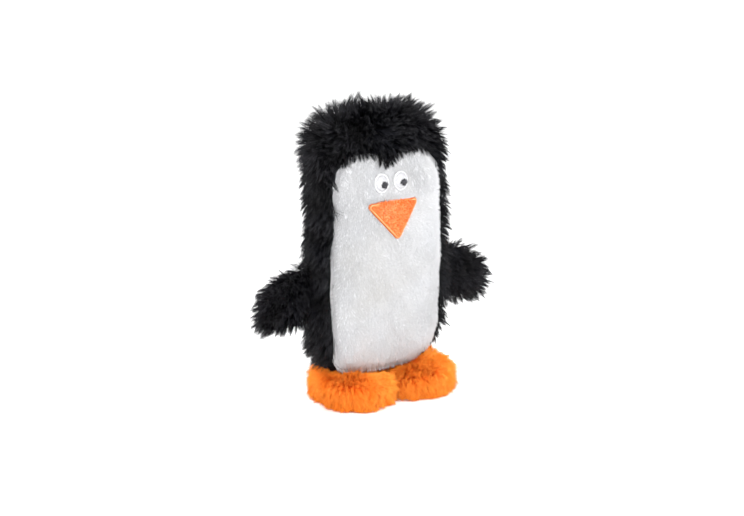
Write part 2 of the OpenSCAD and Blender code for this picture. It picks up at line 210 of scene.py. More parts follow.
def stuffed(name, form, voxel, cap, shrink, pinned):
    """Puffs a closed form as stuffed cloth, moving it at most `cap`. Returns its piece, where its points
    started and how far they moved."""
    normals = form.normals()
    o = mesh_object(name, form.points - normals * shrink, form.faces)
    remesh = o.modifiers.new("remesh", "REMESH")
    remesh.mode, remesh.voxel_size = "VOXEL", voxel * MM
    bpy.context.view_layer.objects.active = o
    for other in bpy.context.selected_objects:
        other.select_set(False)
    o.select_set(True)
    bpy.ops.object.modifier_apply(modifier="remesh")
    count = len(o.data.vertices)
    start = np.zeros(count * 3)
    o.data.vertices.foreach_get("co", start)
    start = start.reshape(-1, 3) / MM
    moved = np.zeros_like(start)
    group = o.vertex_groups.new(name="seams")
    held = pinned(start)
    for i in np.flatnonzero(held > 0.02):
        group.add([int(i)], float(held[i]), "REPLACE")
    cloth = o.modifiers.new("puff", "CLOTH")
    s = cloth.settings
    s.quality, s.mass = 8, 0.15
    s.tension_stiffness = s.compression_stiffness = 12
    s.shear_stiffness, s.bending_stiffness = 6, 0.6
    s.use_pressure, s.uniform_pressure_force = True, PUFF_PRESSURE
    s.effector_weights.gravity = 0
    s.vertex_group_mass = "seams"
    cloth.collision_settings.use_collision = False
    cloth.point_cache.frame_start, cloth.point_cache.frame_end = 1, PUFF_FRAMES
    scene = bpy.context.scene
    for f in range(1, PUFF_FRAMES + 1):
        scene.frame_set(f)
    shown = o.evaluated_get(bpy.context.evaluated_depsgraph_get()).data
    now = np.zeros(count * 3)
    shown.vertices.foreach_get("co", now)
    moved = now.reshape(-1, 3) / MM - start
    o.modifiers.remove(cloth)
    scene.frame_set(1)
    far = np.linalg.norm(moved, axis=1, keepdims=True)
    moved = moved * np.minimum(1, cap / np.maximum(far, 1e-6))
    o.data.vertices.foreach_set("co", ((start + moved) * MM).ravel())
    o.data.update()
    rounder = o.modifiers.new("round", "SUBSURF")
    rounder.levels = rounder.render_levels = 1
    return o, start, moved


# ---- torso
def rounded(half, low, high, r_low, r_high, counts, r_settled):
    """A rounded rectangle in X and Z from its bottom middle towards +X, closed. The toy leans a little
    to its right, so the filling has settled there and that bottom corner has a smaller radius."""
    right = half_outline(half, low, high, r_low, r_high, counts)
    back = half_outline(half, low, high, r_settled, r_high, counts)[1:][::-1] * [-1, 1]
    return np.concatenate([right, [[0, high]], back])


def half_outline(half, low, high, r_low, r_high, counts):
    bottom, corner_low, side, corner_high, top = counts
    pts = []

    def line(a, b, n):
        pts.extend([(a[0] + (b[0] - a[0]) * k / n, a[1] + (b[1] - a[1]) * k / n) for k in range(n)])

    def arc(cx, cz, r, start, n):
        for k in range(n):
            t = math.radians(start + 90 * k / n)
            pts.append((cx + r * math.cos(t), cz + r * math.sin(t)))

    line((0, low), (half - r_low, low), bottom)
    arc(half - r_low, low + r_low, r_low, -90, corner_low)
    line((half, low + r_low), (half, high - r_high), side)
    arc(half - r_high, high - r_high, r_high, 0, corner_high)
    line((half - r_high, high), (0, high), top)
    return np.array(pts)


COUNTS = (7, 24, 56, 18, 10)
seam_xz = rounded(PANEL_HALF, BOTTOM, PANEL_TOP, HIP_R - 2, CROWN_R - 2, COUNTS, SETTLED_R)
wide_xz = rounded(HALF_W, BOTTOM, TOP, HIP_R, CROWN_R, COUNTS, SETTLED_R + 6)
seam_xz[:, 1] -= PEAK_DROP * np.exp(-(seam_xz[:, 0] / PEAK_W) ** 2) * (seam_xz[:, 1] > PANEL_MID)
AROUND = len(seam_xz)


def softened(p, half):
    """The outline of the filled toy: fuller at the belly, narrower at the head, uneven at the sides and
    sagging a little between the feet."""
    x, z = p.T
    high = (z - BOTTOM) / (TOP - BOTTOM)
    belly = np.exp(-((high - 0.4) / 0.25) ** 2)
    wide = 1.03 * belly + 0.985 * (1 - belly)
    uneven = (0.45 * np.sin(z / 12) * x + 0.5 * np.sin(z / 19 + 2) * np.abs(x)) / half
    sag = 2.6 * np.exp(-(x / 24) ** 2) * ease((BOTTOM + 26 - z) / 26)
    return np.stack([x * wide + uneven, z - sag], 1)


seam_xz, wide_xz = softened(seam_xz, PANEL_HALF), softened(wide_xz, HALF_W)
BASE_COLUMNS = COUNTS[0] + round(COUNTS[1] / 3)


def panel_y(x, z):
    edge = (np.abs(x / PANEL_HALF) ** 5 + np.abs((z - PANEL_MID) / (PANEL_TOP - PANEL_MID)) ** 5) ** 0.2
    return SEAM_Y - CROWN * dome(edge, 2.4)


def torso_ring(s):
    if s <= 1:
        p = np.array([0, PANEL_MID]) + (seam_xz - [0, PANEL_MID]) * s
        y = panel_y(p[:, 0], p[:, 1])
    elif s <= 2:
        a = math.radians(90 * (s - 1))
        p = seam_xz + (wide_xz - seam_xz) * math.sin(a)
        y = MID_Y + (panel_y(seam_xz[:, 0], seam_xz[:, 1]) - MID_Y) * math.cos(a)
    else:
        a = math.radians(90 * (s - 2))
        axis = np.array([0, BODY_MID])
        p = axis + (wide_xz - axis) * math.cos(a) ** 0.5
        y = np.full(AROUND, MID_Y + (BACK - MID_Y) * math.sin(a) ** 0.5)
    return np.stack([p[:, 0], y, p[:, 1]], 1)


FRONT_S = [0.12, 0.24, 0.36, 0.47, 0.57, 0.66, 0.74, 0.8, 0.85, 0.89, 0.92, 0.945, 0.965, 0.98, 0.99]
SIDE_S = [1 + k / 8 for k in range(8)]
BACK_S = [2, 2.05, 2.12, 2.2, 2.3, 2.4, 2.5, 2.6, 2.68, 2.76, 2.83, 2.89, 2.94, 2.97, 2.99]
TORSO_S = np.array(FRONT_S + SIDE_S + BACK_S)
torso = Form([torso_ring(s) for s in TORSO_S], (0, FRONT, PANEL_MID), (0, BACK, BODY_MID))


def seam_distance(p):
    ring = torso_ring(1.0)
    return np.concatenate([
        np.sqrt(((p[i:i + 2000, None] - ring[None]) ** 2).sum(2)).min(1) for i in range(0, len(p), 2000)])


def torso_seam(p):
    """How near points are to the front panel's seam, 0 to 1, where the thread holds the cloth."""
    return np.exp(-(seam_distance(p) / 4.5) ** 2)


def torso_pins(p):
    bottom = ease((BOTTOM + 7 - p[:, 2]) / 6)
    return np.clip(np.maximum(torso_seam(p), bottom), 0, 1)


body_fill, torso_base, torso_moved = stuffed("body_fibrefill", torso, 5.0, 3.5, 2.4, torso_pins)


def puff(points, base, moved):
    return points + carried(points, base, moved)


def settle(form, base, moved, tuck, tuck_deep, lumps, seed):
    """The cloth over a stuffed form: its swelling, the pinched seams and the lumps of the filling."""
    normal = form.normals()
    p = puff(form.points, base, moved)
    p -= normal * (tuck * tuck_deep)[:, None]
    p += normal * (waves(form.points, 26, seed) * lumps)[:, None]
    p += normal * (waves(form.points, 11, seed + 50) * lumps * 0.35)[:, None]
    form.points = p
    return form


torso_rest = torso.points.copy()
settle(torso, torso_base, torso_moved, torso_seam(torso_rest), 1.1, 0.45, 11)

ring_s = np.concatenate([[0], TORSO_S, [3]])
face_s = (ring_s[torso.ring_of + 1] + ring_s[torso.ring_of + 2]) / 2
column = torso.column_of
from_bottom = np.minimum(column + 0.5, AROUND - column - 0.5)
in_base = (face_s > 1) & (face_s < 2.4) & (from_bottom < BASE_COLUMNS)
on_left = column < AROUND / 2
REGION = {
    "front": face_s < 1,
    "base": in_base,
    "side_left": (face_s > 1) & ~in_base & on_left,
    "side_right": (face_s > 1) & ~in_base & ~on_left,
}


def cut(form, keep, name, thick=0.7):
    """One sewn piece out of a form, as cloth with a thickness."""
    faces = [form.faces[i] for i in np.flatnonzero(keep)]
    used = sorted({v for f in faces for v in f})
    new = {v: i for i, v in enumerate(used)}
    o = mesh_object(name, form.points[used], [[new[v] for v in f] for f in faces])
    solid = o.modifiers.new("cloth", "SOLIDIFY")
    solid.thickness, solid.offset = thick * MM, -1
    return o


# ---- flippers
flip_low, flip_high = box_mm("flipper_left_front")
_, flip_back_high = box_mm("flipper_left_back")
PILE_IN = 4.0                          # how far the cloth lies inside the outside of the CAD solid
FLIP_L = flip_high[0] - HINGE_X - PILE_IN + 0.4
FLIP_HALF_H, FLIP_ROOT_T = 23.0, 3.5   # half the CAD flipper's height and half its root's thickness
FLIP_DROP = 11.0                       # how far its tip hangs, as in the CAD
FLIP_HALF_T = (flip_back_high[1] - flip_low[1]) / 2


def flipper_form(side):
    around = 56
    d = np.concatenate([[-FLIP_ROOT_T * 0.7], FLIP_L * (1 - (1 - np.linspace(0, 1, 26)) ** 1.6)[:-1]])
    rings = []
    for k in d:
        t = max(0.0, k / FLIP_L)
        end = float(dome(np.array(t), 3.2))
        root = 1.0 if k >= 0 else 0.8
        half_h = (FLIP_HALF_H - PILE_IN - 3.5 * t) * end * root
        half_t = (1.6 + (FLIP_HALF_T - PILE_IN - 1.6) * float(ease(np.array(2.2 * t)))) * end * root
        a = round_turn(around)
        z = FLIPPER_Z - FLIP_DROP * t ** 1.3 + half_h * np.sin(a)
        y = MID_Y - half_t * np.sign(np.cos(a)) * np.abs(np.cos(a)) ** 0.85
        x = np.full(around, HINGE_X + k)
        rings.append(np.stack([side * x, y, z], 1))
    tip = (side * (HINGE_X + FLIP_L), MID_Y, FLIPPER_Z - FLIP_DROP)
    root = (side * (HINGE_X - FLIP_ROOT_T * 0.75), MID_Y, FLIPPER_Z)
    return Form(rings, root, tip)


# ---- feet
foot_low, foot_high = box_mm("foot_left_upper")
_, sole_high = box_mm("foot_left_sole")
FOOT_X, FOOT_Y = (foot_low[0] + foot_high[0]) / 2, (foot_low[1] + foot_high[1]) / 2
FOOT_HALF_X, FOOT_HALF_Y = (foot_high[0] - foot_low[0]) / 2, (foot_high[1] - foot_low[1]) / 2
SOLE_T = sole_high[2]
FOOT_TOP, FOOT_IN, FOOT_RISE = 17.5, 4.0, 5.0   # height, pile depth and rise at the outside, as in the CAD
HIP_OUTSIDE = HIP_R + 5.0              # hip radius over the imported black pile
TOES = ((-8.5, 2.4, 3.6), (13.0, 2.0, 3.6))   # each cleft: its X from the foot's middle, depth, half width


def foot_form(side):
    around = 120
    turns = [-60, -40, -20, 0, 18, 36, 54, 72, 90]
    r = (FOOT_TOP - SOLE_T) / 2
    a = round_turn(around)

    def plan(inset, share, z):
        c, s = np.cos(a), np.sin(a)
        x = (FOOT_HALF_X - inset) * share * np.sign(c) * np.abs(c) ** (2 / 2.6)
        x = np.where(x < 0, x * (1 + 2.6 / FOOT_HALF_X), x)
        y = (FOOT_HALF_Y - inset) * share * np.sign(s) * np.abs(s) ** (2 / 2.6)
        forward = ease((-y - 4) / 18)
        cleft = sum(deep * np.exp(-((x - at) / wide) ** 2) for at, deep, wide in TOES) * forward
        high = max(0.0, (z - SOLE_T) / (FOOT_TOP - SOLE_T))
        y = y + cleft * (0.55 + 0.6 * share) * 0.9
        out = np.clip(np.abs(FOOT_X + x) - HALF_W + HIP_R, 0, HIP_R - 1)
        hip = HIP_OUTSIDE - np.sqrt(HIP_OUTSIDE ** 2 - out ** 2)
        rise = FOOT_RISE * (1 - np.exp(-hip / FOOT_RISE)) * high
        z = z + rise - cleft * 0.45 * high
        return np.stack([side * (FOOT_X + x), FOOT_Y + y, z], 1)

    rings = [plan(FOOT_IN + 4, 0.5, 0.9), plan(FOOT_IN + 1.5, 1, 0.9), plan(FOOT_IN, 1, 1.6)]
    inner = r - FOOT_IN
    for t in turns:
        q = math.radians(t)
        if t < 0:
            rings.append(plan(FOOT_IN, 1, SOLE_T + r + (r - 0.6) * math.sin(q)))
        else:
            rings.append(plan(r - inner * math.cos(q), 1, SOLE_T + r + inner * math.sin(q)))
    rings += [plan(r, share, FOOT_TOP - FOOT_IN) for share in (0.85, 0.65, 0.42, 0.2)]
    low = (side * FOOT_X, FOOT_Y, 0.9)
    high = (side * FOOT_X, FOOT_Y, FOOT_TOP - FOOT_IN + 0.5)
    return Form(rings, low, high)


# ---- materials
class Shader:
    """A new material, with short ways to add linked nodes to it."""

    def __init__(self, name):
        self.material = bpy.data.materials.new(name)
        self.material.use_nodes = True
        self.tree = self.material.node_tree
        self.bsdf = self.tree.nodes["Principled BSDF"]
        self.link = self.tree.links.new

    def node(self, kind, **values):
        node = self.tree.nodes.new("ShaderNode" + kind)
        for key, value in values.items():
            node.inputs[key].default_value = value
        return node

    def maths(self, operation, value, second=0.5):
        node = self.node("Math")
        node.operation, node.inputs[1].default_value = operation, second
        self.link(value, node.inputs[0])
        return node.outputs[0]

    def ramp(self, value, stops):
        node = self.node("ValToRGB")
        e = node.color_ramp.elements
        while len(e) > 1:
            e.remove(e[-1])
        e[0].position, e[0].color = stops[0][0], (*stops[0][1], 1)
        for at, colour in stops[1:]:
            e.new(at).color = (*colour, 1)
        self.link(value, node.inputs[0])
        return node.outputs[0]

    def texture(self, kind, **values):
        node = self.node(kind, **values)
        self.link(self.node("TexCoord").outputs["Object"], node.inputs["Vector"])
        return node

    def mix(self, a, b, factor, blend="MIX"):
        """A colour mix. A, B and the factor are each an output or a plain value."""
        node = self.node("Mix")
        node.data_type, node.blend_type = "RGBA", blend
        for key, value in (("Factor", factor), ("A", a), ("B", b)):
            if isinstance(value, bpy.types.NodeSocket):
                self.link(value, node.inputs[key])
            else:
                node.inputs[key].default_value = value
        return node.outputs["Result"]

    def bump(self, height, distance, strength):
        node = self.node("Bump", Distance=distance, Strength=strength)
        self.link(height, node.inputs["Height"])
        self.link(node.outputs[0], self.bsdf.inputs["Normal"])

    def finished(self, colour, **values):
        self.link(colour, self.bsdf.inputs["Base Color"])
        for key, value in values.items():
            self.bsdf.inputs[key.replace("_", " ")].default_value = value
        return self.material


TONES, HUES = 8, 8


def strand_material(name, root, dark, light, hue_low, hue_high, roughness, sheen=0.0, specular=0.5,
                    sheen_tint=(1, 1, 1)):
    """The pile. Its map is across: hue in eight steps, and tone in eight steps inside each; up: from
    root to tip."""
    shader = Shader(name)
    uv = shader.node("UVMap")
    uv.uv_map = "OFBake"
    split = shader.node("SeparateXYZ")
    shader.link(uv.outputs[0], split.inputs[0])
    steps = shader.maths("MULTIPLY", split.outputs[0], HUES)
    hue = shader.maths("DIVIDE", shader.maths("FLOOR", steps), HUES - 1)
    tips = shader.ramp(shader.maths("FRACT", steps), [(0.05, dark), (0.95, light)])
    tint = shader.ramp(hue, [(0, hue_low), (0.5, (1, 1, 1)), (1, hue_high)])
    # Painted shade: the root colour, darker than the tips on the black, orange and beak pile, fades into the
    # tip colour over the first 55% of each strand.
    up = shader.ramp(split.outputs[1], [(0.0, (0, 0, 0)), (0.55, (1, 1, 1))])
    colour = shader.mix((*root, 1), shader.mix(tips, tint, 1, "MULTIPLY"), up)
    return shader.finished(colour, Roughness=roughness, Sheen_Weight=sheen, Sheen_Roughness=0.4,
                           Specular_IOR_Level=specular, Sheen_Tint=(*sheen_tint, 1))


def knit_material(name, dark, light, scale=1600.0, roughness=0.9, depth=0.0002):
    """The knitted backing that the pile grows from."""
    shader = Shader(name)
    cells = shader.texture("TexVoronoi", Scale=scale)
    patches = shader.texture("TexNoise", Scale=90, Detail=4)
    both = shader.node("Math")
    both.operation, both.inputs[1].default_value = "MULTIPLY_ADD", 0.6
    shader.link(cells.outputs["Distance"], both.inputs[0])
    shader.link(patches.outputs["Fac"], both.inputs[2])
    shader.bump(cells.outputs["Distance"], depth, 0.6)
    return shader.finished(shader.ramp(both.outputs[0], [(0.35, dark), (0.8, light)]), Roughness=roughness)


def thread_material(name, dark, light, roughness, scale=900.0):
    """Embroidery thread: fine filaments with small changes of colour and gloss."""
    shader = Shader(name)
    fine = shader.texture("TexNoise", Scale=scale, Detail=3).outputs["Fac"]
    rough = shader.node("MapRange")
    rough.inputs["To Min"].default_value = roughness - 0.08
    rough.inputs["To Max"].default_value = roughness + 0.08
    shader.link(fine, rough.inputs["Value"])
    shader.link(rough.outputs[0], shader.bsdf.inputs["Roughness"])
    shader.bump(fine, 0.00008, 0.5)
    return shader.finished(shader.ramp(fine, [(0.32, dark), (0.68, light)]))


# On the black pile the light tone, ten times the dark, and the high hue, a lighter grey, are laid in broad
# patches as painted sheen.
BLACK_PILE = strand_material("black_pile", (0.0006, 0.0006, 0.0008), (0.0012, 0.0012, 0.0016),
                             (0.012, 0.012, 0.015), (0.6, 0.65, 0.8), (1.8, 1.75, 1.7), 0.25,
                             specular=0.22)
WHITE_PILE = strand_material("white_plush", (0.60, 0.602, 0.615), (0.575, 0.577, 0.587),
                             (0.625, 0.627, 0.635), (0.97, 0.98, 1.0), (1.0, 0.985, 0.955), 0.95, 0.1,
                             specular=0.1)
ORANGE_PILE = strand_material("orange_pile", (1.0, 0.18, 0.006), (0.96, 0.235, 0.012),
                              (0.98, 0.32, 0.04), (0.97, 0.86, 0.75), (1.0, 1.14, 1.5), 0.75, 0.35,
                              specular=0.2, sheen_tint=(1.0, 0.45, 0.12))
BEAK_PILE = strand_material("beak_plush", (0.80, 0.14, 0.025), (0.86, 0.21, 0.05),
                            (1.0, 0.37, 0.12), (0.93, 0.78, 0.7), (1.0, 1.12, 1.35), 0.85, 0.1,
                            specular=0.2)
PILE_SLOT = {BLACK_PILE: "black_pile", WHITE_PILE: "white_plush", ORANGE_PILE: "orange_pile",
             BEAK_PILE: "beak_plush"}
BLACK_CLOTH = knit_material("black_backing", (0.001, 0.001, 0.0015), (0.004, 0.004, 0.005))
WHITE_CLOTH = knit_material("white_backing", (0.82, 0.83, 0.85), (0.92, 0.925, 0.94))
ORANGE_CLOTH = knit_material("orange_backing", (0.75, 0.09, 0.004), (0.95, 0.18, 0.01))
FIBRE = knit_material("fibrefill", (0.6, 0.6, 0.57), (0.88, 0.87, 0.83), 500.0, 0.95, 0.001)
PEACH = thread_material("peach_thread", (0.70, 0.27, 0.09), (0.86, 0.42, 0.18), 0.45)
AMBER = thread_material("amber_thread", (0.58, 0.12, 0.02), (0.72, 0.20, 0.05), 0.5)
WHITE_THREAD = thread_material("white_thread", (0.50, 0.50, 0.515), (0.66, 0.66, 0.675), 0.5)
GREY_THREAD = thread_material("grey_thread", (0.26, 0.26, 0.28), (0.4, 0.4, 0.43), 0.5)
BLACK_THREAD = thread_material("black_thread", (0.006, 0.006, 0.009), (0.03, 0.03, 0.038), 0.35)
SATIN = thread_material("label_satin", (0.58, 0.58, 0.56), (0.68, 0.68, 0.67), 0.38, 2500.0)


def dressed(o, material, body, slot, *nodes):
    o.data.materials.clear()
    o.data.materials.append(material)
    if nodes:
        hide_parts(*nodes)
    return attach(o, body)


# ---- pile
def sown(form, keep, count, rng, weight=None):
    """Roots spread evenly over the kept faces: points and outward normals."""
    tri = form.triangles(keep)
    p, n = form.points, form.normals()
    a, b, c = p[tri[:, 0]], p[tri[:, 1]], p[tri[:, 2]]
    area = np.linalg.norm(np.cross(b - a, c - a), axis=1)
    if weight is not None:
        area = area * weight((a + b + c) / 3)
    pick = rng.choice(len(tri), count, p=area / area.sum())
    u, v = rng.random(count), rng.random(count)
    over = u + v > 1
    u[over], v[over] = 1 - u[over], 1 - v[over]
    w = np.stack([1 - u - v, u, v], 1)[:, :, None]
    at = (np.stack([a[pick], b[pick], c[pick]], 1) * w).sum(1)
    normal = unit((np.stack([n[tri[pick, k]] for k in range(3)], 1) * w).sum(1))
    return at, normal


def curves(root, normal, comb, angle, length, ts, droop=0.0):
    """Points along each strand: it leaves near the normal and turns towards the comb direction."""
    comb = unit(tangent(comb, normal))
    first = np.radians(angle * 0.45)[:, None]
    last = np.radians(np.minimum(angle * 1.25, 150))[:, None]
    d0 = normal * np.cos(first) + comb * np.sin(first)
    d1 = normal * np.cos(last) + comb * np.sin(last)
    d1 = unit(d1 - np.array([0, 0, 1.0]) * droop)
    length = length[:, None]
    return np.stack([root + length * (d0 * (t - 0.5 * t * t) + d1 * 0.5 * t * t) for t in ts], 1)


STRAND_FLOOR = 0.25                    # how low a strand may reach
STRAND_SIDES = 3


def pile(name, root, normal, comb, angle, length, width, spacing, clump, material, body, rng,
         rings=3, droop=0.0, spread=0.1, tone=None, hue=None, curl=0.0, ragged=0.25, strays=0.08, nap=0.0):
    """One piece of pile: tapered strands that gather into pointed locks, with a few strays. `nap` is how
    far the strands are shaded as the smooth nap that their real, much finer fibres would make."""
    count = len(root)
    ts = np.linspace(0, 1, rings + 1) ** 0.9
    locks = max(1, int(count / max(spacing, 1)))
    chosen = rng.choice(count, locks, replace=False)
    tree = kdtree.KDTree(locks)
    for i, k in enumerate(chosen):
        tree.insert(Vector(root[k]), i)
    tree.balance()
    mine = np.array([tree.find(Vector(p))[1] for p in root])
    lead = chosen[mine]
    off = np.linalg.norm(root - root[lead], axis=1)
    width_of = np.bincount(mine, off, locks) / np.maximum(np.bincount(mine, minlength=locks), 1) + 1e-3
    outer = np.clip(off / (1.6 * width_of[mine]), 0, 1)
    comb = unit(comb) + (rng.normal(size=(locks, 3)) * ragged)[mine]
    angle = angle + (rng.normal(size=locks) * 26 * ragged)[mine]
    length = length * (1 + rng.normal(size=locks) * 0.5 * ragged)[mine] * (1.06 - 0.3 * outer ** 1.5)
    stray = rng.random(count) < strays
    length = length * np.where(stray, rng.uniform(0.9, 1.22, count), 1)
    own = curves(root, normal, comb, np.clip(angle, 3, 86), length, ts, droop)
    hold = (clump * rng.uniform(0.75, 1.05, locks))[mine] * rng.uniform(0.85, 1.0, count)
    hold = np.where(stray, 0.15 * hold, hold)
    width = width * np.where(stray, 0.7, 1)
    away = (root - root[lead]) * spread
    share = (ts ** 1.25)[None, :, None] * np.clip(hold, 0, 1)[:, None, None]
    path = own * (1 - share) + (own[lead] + away[:, None]) * share
    if curl:
        side = unit(np.cross(normal, unit(comb) + 1e-3))
        bow = (rng.normal(size=count) * curl)[:, None, None]
        path += side[:, None] * (np.sin(ts * 3.0)[None, :, None] * bow)
    path[:, :, 2] = np.maximum(path[:, :, 2], STRAND_FLOOR)
    way = unit(path[:, -1] - path[:, 0])
    ref = unit(rng.normal(size=(count, 3)))
    b1 = unit(np.cross(way, ref))
    b2 = np.cross(way, b1)
    verts = np.empty((count, rings * STRAND_SIDES + 1, 3))
    for r in range(rings):
        radius = (width / 2 * (1 - 0.75 * ts[r] ** 2))[:, None]
        for k in range(STRAND_SIDES):
            t = 2 * math.pi * k / STRAND_SIDES
            verts[:, r * STRAND_SIDES + k] = path[:, r] + (b1 * math.cos(t) + b2 * math.sin(t)) * radius
    verts[:, -1] = path[:, -1]
    verts[:, :, 2] = np.maximum(verts[:, :, 2], STRAND_FLOOR * 0.6)
    quads = [(r * 3 + k, r * 3 + (k + 1) % 3, (r + 1) * 3 + (k + 1) % 3, (r + 1) * 3 + k)
             for r in range(rings - 1) for k in range(3)]
    tris = [((rings - 1) * 3 + k, (rings - 1) * 3 + (k + 1) % 3, rings * 3) for k in range(3)]
    pattern = np.array([v for f in quads + tris for v in f])
    sizes = np.array([4] * len(quads) + [3] * len(tris))
    per = verts.shape[1]
    loops = (pattern[None] + (np.arange(count) * per)[:, None]).ravel()
    totals = np.tile(sizes, count)
    mesh = bpy.data.meshes.new(name)
    mesh.vertices.add(count * per)
    mesh.vertices.foreach_set("co", (verts * MM).astype(np.float32).ravel())
    mesh.loops.add(len(loops))
    mesh.loops.foreach_set("vertex_index", loops.astype(np.int32))
    mesh.polygons.add(len(totals))
    mesh.polygons.foreach_set("loop_start", (np.cumsum(totals) - totals).astype(np.int32))
    mesh.polygons.foreach_set("loop_total", totals.astype(np.int32))
    mesh.polygons.foreach_set("use_smooth", np.ones(len(totals), bool))
    # The default tone and hue change in patches 14 and 30 mm across and from strand to strand; on the black
    # pile the lighter patches are painted sheen, and the strand-to-strand spread is the pile's own.
    if tone is None:
        tone = 0.5 + 0.35 * waves(root, 14, 901) + rng.normal(size=count) * 0.22
    if hue is None:
        hue = 0.5 + 0.3 * waves(root, 30, 902) + rng.normal(size=count) * 0.12
    tone = np.clip((tone * TONES).astype(int), 0, TONES - 1)
    hue = np.clip((hue * HUES).astype(int), 0, HUES - 1)
    left = (hue * TONES + tone) / (TONES * HUES)
    across = np.array([(k % 3 + 1) * 0.25 for k in range(per - 1)] + [0.5]) / (TONES * HUES)
    upward = np.array([0.02 + 0.96 * ts[k // 3] for k in range(per - 1)] + [0.98])
    u = left[:, None] + across[pattern][None]
    v = np.broadcast_to(upward[pattern][None], u.shape)
    layer = mesh.uv_layers.new(name="OFBake")
    layer.data.foreach_set("uv", np.stack([u, v], 2).astype(np.float32).ravel())
    mesh.update()
    mesh.validate()
    if nap:
        own_normals = np.empty(len(mesh.vertices) * 3, np.float32)
        mesh.vertex_normals.foreach_get("vector", own_normals)
        smooth = unit(own_normals.reshape(-1, 3) * (1 - nap) + np.repeat(normal, per, 0) * nap)
        mesh.normals_split_custom_set_from_vertices(smooth.tolist())
    return dressed(placed(name, mesh), material, body, PILE_SLOT[material])


def toward(direction, count):
    return np.broadcast_to(np.array(direction, float), (count, 3))


def black_way(p, n, rng):
    """How the long pile of the body is combed: direction, angle from upright, length and droop."""
    count = len(p)
    x, y, z = p.T
    side = np.sign(x) * ease(np.abs(x) / 30)
    top = ease((z - 158) / 32)
    front = ease((MID_Y + 4 - y) / 14)
    near = np.exp(-(seam_distance(p) / 6) ** 2)
    fringe = near * ease((z - 150) / 14)
    low = ease((46 - z) / 16)
    flank = np.stack([0.2 * side, -0.1 - 0.15 * front + 1.1 * low, np.full(count, -1.0)], 1)
    crown = np.stack([0.8 * side, -0.7 * front + 0.35 * (1 - front), np.full(count, -0.1)], 1)
    over = np.stack([0.15 * side, np.full(count, -1.0), np.full(count, -0.35)], 1)
    way = flank * (1 - top)[:, None] + crown * top[:, None]
    way = way + swirl(p, 30, 31) * (0.16 + 0.45 * top)[:, None] + rng.normal(size=(count, 3)) * 0.08
    way = way * (1 - fringe)[:, None] + (over + swirl(p, 9, 71) * 0.25) * fringe[:, None]
    angle = 51 - 17 * top + waves(p, 17, 41) * (7 + 8 * top) + rng.normal(size=count) * 4
    angle = angle - 10 * near * (1 - top) + 14 * low * near
    angle = angle * (1 - fringe) + fringe * (54 + rng.normal(size=count) * 6)
    length = 12.2 + 1.9 * top + waves(p, 9, 51) * 0.9 + rng.normal(size=count) * 0.6
    length = length * (1 - 0.42 * fringe) * (1 - 0.45 * low * near)
    behind = ease((y - MID_Y - 8) / 12) * (1 - 0.6 * top)
    angle, length = angle + 7 * behind, length * (1 - 0.2 * behind)
    return way, np.clip(angle, 4, 82), np.clip(length, 4, 15.5), 0.25 * fringe


def region_faces(name, keep):
    """The faces of a torso region whose middle passes a test."""
    return REGION[name] & keep(torso.middles(torso.points))


rng = np.random.default_rng(41)
SPLIT_Z, SPLIT_Y = 160, MID_Y + 8
PARTS = {
    "crown": (lambda m: m[:, 2] > SPLIT_Z, 2.7),
    "flank": (lambda m: (m[:, 2] <= SPLIT_Z) & (m[:, 1] < SPLIT_Y), 2.7),
    "back": (lambda m: (m[:, 2] <= SPLIT_Z) & (m[:, 1] >= SPLIT_Y), 1.75),
}
LONG_LIMIT, SHORT_LIMIT = 13000, 21500


front_cloth = dressed(cut(torso, REGION["front"], "front_panel_cloth"), WHITE_CLOTH, "torso",
                      "white_plush", "front_panel")
for side in ("left", "right"):
    dressed(cut(torso, REGION["side_" + side], f"body_side_{side}_cloth"),
                                BLACK_CLOTH, "torso", "black_pile", "body_side_" + side)
base_cloth = dressed(cut(torso, REGION["base"], "base_panel_cloth"), BLACK_CLOTH, "torso",
                     "black_pile", "base_panel")
dressed(body_fill, FIBRE, "torso", "fibrefill", "body_stuffing")

for side in ("left", "right"):
    for part, (keep, density) in PARTS.items():
        faces = region_faces("side_" + side, keep)
        count = min(LONG_LIMIT, int(torso.area(faces) * density))
        p, n = sown(torso, faces, count, rng)
        way, angle, length, droop = black_way(p, n, rng)
        pile(f"body_side_{side}_pile_{part}", p, n, way, angle, length,
             rng.uniform(0.18, 0.32, count), 15, 0.8, BLACK_PILE, "torso", rng, droop=droop[:, None],
             curl=0.2, ragged=0.2, strays=0.12)

p, n = sown(torso, REGION["base"], 3000, rng)
back_of_seam = p[:, 1] > SEAM_Y + 3
p, n = p[back_of_seam], n[back_of_seam]
count = len(p)
pile("base_panel_pile", p, n, swirl(p, 20, 5), rng.normal(60, 8, count), rng.uniform(2.5, 4, count),
     rng.uniform(0.35, 0.5, count), 12, 0.5, BLACK_PILE, "torso", rng, rings=2)


# ---- face: where the applied pieces lie
def face_y(x, z):
    """The front panel's cloth at a place on the face."""
    x, z = np.atleast_1d(x).astype(float), np.atleast_1d(z).astype(float)
    at = np.stack([x, panel_y(x, z), z], 1)
    return puff(at, torso_base, torso_moved)[:, 1]


def hull(points):
    """The convex outline of points in a plane, anticlockwise."""
    pts = sorted(set(map(tuple, np.round(points, 4))))

    def half(seq):
        out = []
        for p in seq:
            while len(out) > 1 and ((out[-1][0] - out[-2][0]) * (p[1] - out[-2][1])
                                    - (out[-1][1] - out[-2][1]) * (p[0] - out[-2][0])) <= 0:
                out.pop()
            out.append(p)
        return out[:-1]

    return np.array(half(pts) + half(pts[::-1]))


def evenly(loop, step):
    """A closed loop again, with points every `step` along it."""
    closed = np.concatenate([loop, loop[:1]])
    run = np.concatenate([[0], np.cumsum(np.linalg.norm(np.diff(closed, axis=0), axis=1))])
    count = max(12, round(run[-1] / step))
    t = np.arange(count) * run[-1] / count
    return np.stack([np.interp(t, run, closed[:, k]) for k in range(2)], 1)


def inset(loop, d):
    """An anticlockwise loop drawn in by d."""
    ahead, behind = np.roll(loop, -3, 0), np.roll(loop, 3, 0)
    t = unit(ahead - behind)
    return loop + np.stack([-t[:, 1], t[:, 0]], 1) * d


